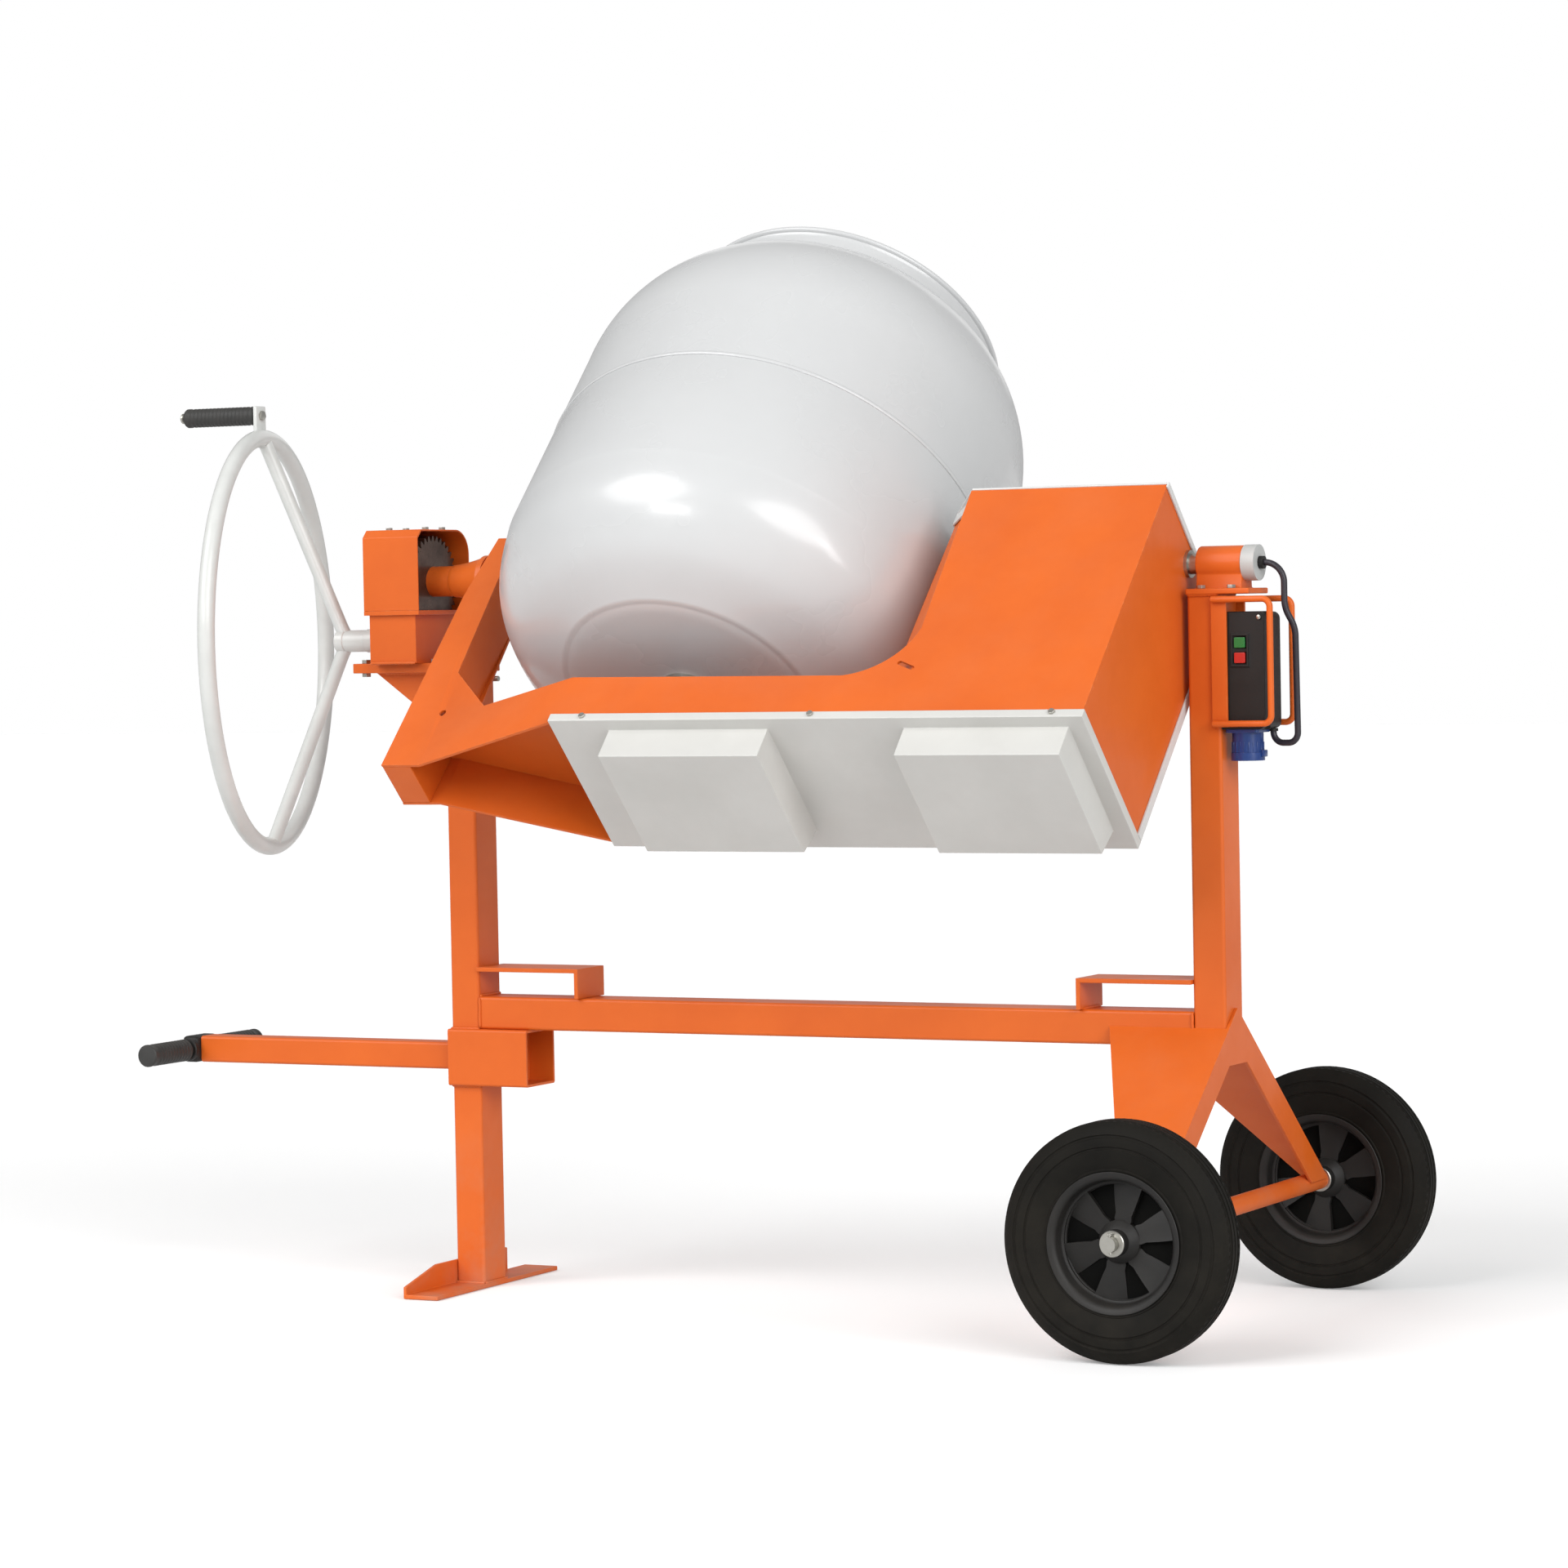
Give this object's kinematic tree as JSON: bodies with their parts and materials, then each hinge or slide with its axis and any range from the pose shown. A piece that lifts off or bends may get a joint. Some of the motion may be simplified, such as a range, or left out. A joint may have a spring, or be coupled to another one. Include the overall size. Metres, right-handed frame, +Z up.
{
  "type": "concrete mixer",
  "caption": "Towable electric concrete mixer: tilting drum in a sheet cradle, handwheel tilt gear, box-section stand with road wheels, fork pockets and draw handle.",
  "frame": {"origin": "middle of the foot plate, on the ground", "axes": "+X along the base beam from the foot to the road wheels, +Y to the pouring side, +Z up"},
  "size_m": [2.327, 1.1657, 1.9437],
  "materials": {
    "orange_paint": "semi-gloss orange powder coat",
    "white_tube_paint": "pale grey gloss paint",
    "drum_paint": "pale grey-white gloss paint",
    "cover_paint": "light warm grey paint",
    "lid_paint": "off-white paint",
    "zinc_steel": "zinc-plated steel",
    "gear_steel": "greased steel",
    "blade_steel": "worn pale paint",
    "bronze": "sintered bronze",
    "motor_paint": "grey-blue enamel",
    "black_plastic": "fine-grained black plastic",
    "grip_rubber": "black rubber",
    "tyre_rubber": "black tyre rubber",
    "belt_rubber": "black belt rubber",
    "cable_rubber": "black cable sheath",
    "cap_plastic": "light grey plastic",
    "blue_plastic": "blue connector plastic",
    "green_button": "green plastic",
    "red_button": "red plastic"
  },
  "bodies": {
    "chassis": {"foot_plate": "orange_paint", "lower_leg": "orange_paint", "left_post": "orange_paint", "right_post": "orange_paint", "base_beam": "orange_paint", "fork_straps": "orange_paint", "drawbar_sleeve": "orange_paint", "axle_frame": "orange_paint", "axle_tube": "orange_paint", "axle_shaft": "zinc_steel", "wheel_retainers": "zinc_steel", "gear_base": "orange_paint", "gear_housing": "orange_paint", "gear_cover": "orange_paint", "bushes": "bronze", "housing_bolts": "zinc_steel", "right_bearing": "orange_paint", "bearing_cap": "cap_plastic", "switch_brackets": "orange_paint", "switch_guards": "orange_paint", "switch_box": "black_plastic", "power_inlet": "blue_plastic", "motor_lead": "cable_rubber", "lead_glands": "black_plastic"},
    "tow_bar": {"drawbar": "orange_paint", "tow_handle": "black_plastic", "tow_grips": "grip_rubber"},
    "clamp": {"clamp_screw": "zinc_steel"},
    "cradle": {"left_arm": "orange_paint", "front_plate": "orange_paint", "rear_plate": "orange_paint", "case_sheets": "orange_paint", "motor_box_walls": "orange_paint", "drive_cover": "cover_paint", "motor_box_cover": "lid_paint", "cover_screws": "zinc_steel", "left_trunnion": "orange_paint", "right_trunnion": "zinc_steel", "tilt_gear": "gear_steel", "motor": "motor_paint", "case_bearings": "motor_paint", "drive_belt": "belt_rubber"},
    "drum": {"drum_lower": "drum_paint", "drum_upper": "drum_paint", "mouth_rim": "drum_paint", "mixing_blades": "blade_steel", "drum_shaft": "zinc_steel", "drum_gear": "gear_steel"},
    "drive_layshaft": {"layshaft": "gear_steel", "large_pulley": "zinc_steel"},
    "motor_rotor": {"motor_pulley": "zinc_steel"},
    "tilt_wheel": {"handwheel": "white_tube_paint", "pinion_shaft": "zinc_steel"},
    "crank_grip": {"handwheel_grip": "grip_rubber"},
    "wheel_front": {"tyre_front": "tyre_rubber", "rim_front": "black_plastic"},
    "wheel_rear": {"tyre_rear": "tyre_rubber", "rim_rear": "black_plastic"},
    "start_key": {"start_button": "green_button"},
    "stop_key": {"stop_button": "red_button"}
  },
  "joints": [
    {"name": "cradle_tilt", "type": "hinge", "parent": "chassis", "child": "cradle", "pos_m": [0, 0, 1.308], "axis": [-1, 0, 0], "range_deg": [-40, 85]},
    {"name": "handwheel_turn", "type": "hinge", "parent": "chassis", "child": "tilt_wheel", "pos_m": [-0.262, 0, 1.2], "axis": [-1, 0, 0], "range_deg": [-256, 121]},
    {"name": "crank_grip_spin", "type": "hinge", "parent": "tilt_wheel", "child": "crank_grip", "pos_m": [-0.53, 0, 1.629], "axis": [1, 0, 0], "continuous": true},
    {"name": "drum_spin", "type": "hinge", "parent": "cradle", "child": "drum", "pos_m": [0.578, 0, 1.308], "axis": [0, 0.7071, 0.7071], "continuous": true},
    {"name": "layshaft_spin", "type": "hinge", "parent": "cradle", "child": "drive_layshaft", "pos_m": [0.698, 0, 1.308], "axis": [0, 0.7071, 0.7071], "continuous": true},
    {"name": "motor_spin", "type": "hinge", "parent": "cradle", "child": "motor_rotor", "pos_m": [1.257, 0, 1.308], "axis": [0, 0.7071, 0.7071], "continuous": true},
    {"name": "front_wheel_roll", "type": "hinge", "parent": "chassis", "child": "wheel_front", "pos_m": [1.495, -0.475, 0.2], "axis": [0, 1, 0], "continuous": true},
    {"name": "rear_wheel_roll", "type": "hinge", "parent": "chassis", "child": "wheel_rear", "pos_m": [1.495, 0.475, 0.2], "axis": [0, 1, 0], "continuous": true},
    {"name": "tow_bar_slide", "type": "slide", "parent": "chassis", "child": "tow_bar", "axis": [1, 0, 0], "range_m": [0, 0.45]},
    {"name": "clamp_screw_turn", "type": "hinge", "parent": "chassis", "child": "clamp", "pos_m": [0.047, 0, 0.4275], "axis": [0, 1, 0], "range_deg": [0, 340]},
    {"name": "start_press", "type": "slide", "parent": "chassis", "child": "start_key", "axis": [0, 1, 0], "range_m": [0, 0.003], "stiffness_N_per_m": 500, "springref_m": -0.002},
    {"name": "stop_press", "type": "slide", "parent": "chassis", "child": "stop_key", "axis": [0, 1, 0], "range_m": [0, 0.003], "stiffness_N_per_m": 500, "springref_m": -0.002}
  ],
  "couplings": [
    {"joint": "handwheel_turn", "follows": "cradle_tilt", "ratio": -3},
    {"joint": "layshaft_spin", "follows": "drum_spin", "ratio": -4},
    {"joint": "motor_spin", "follows": "drum_spin", "ratio": -18}
  ]
}
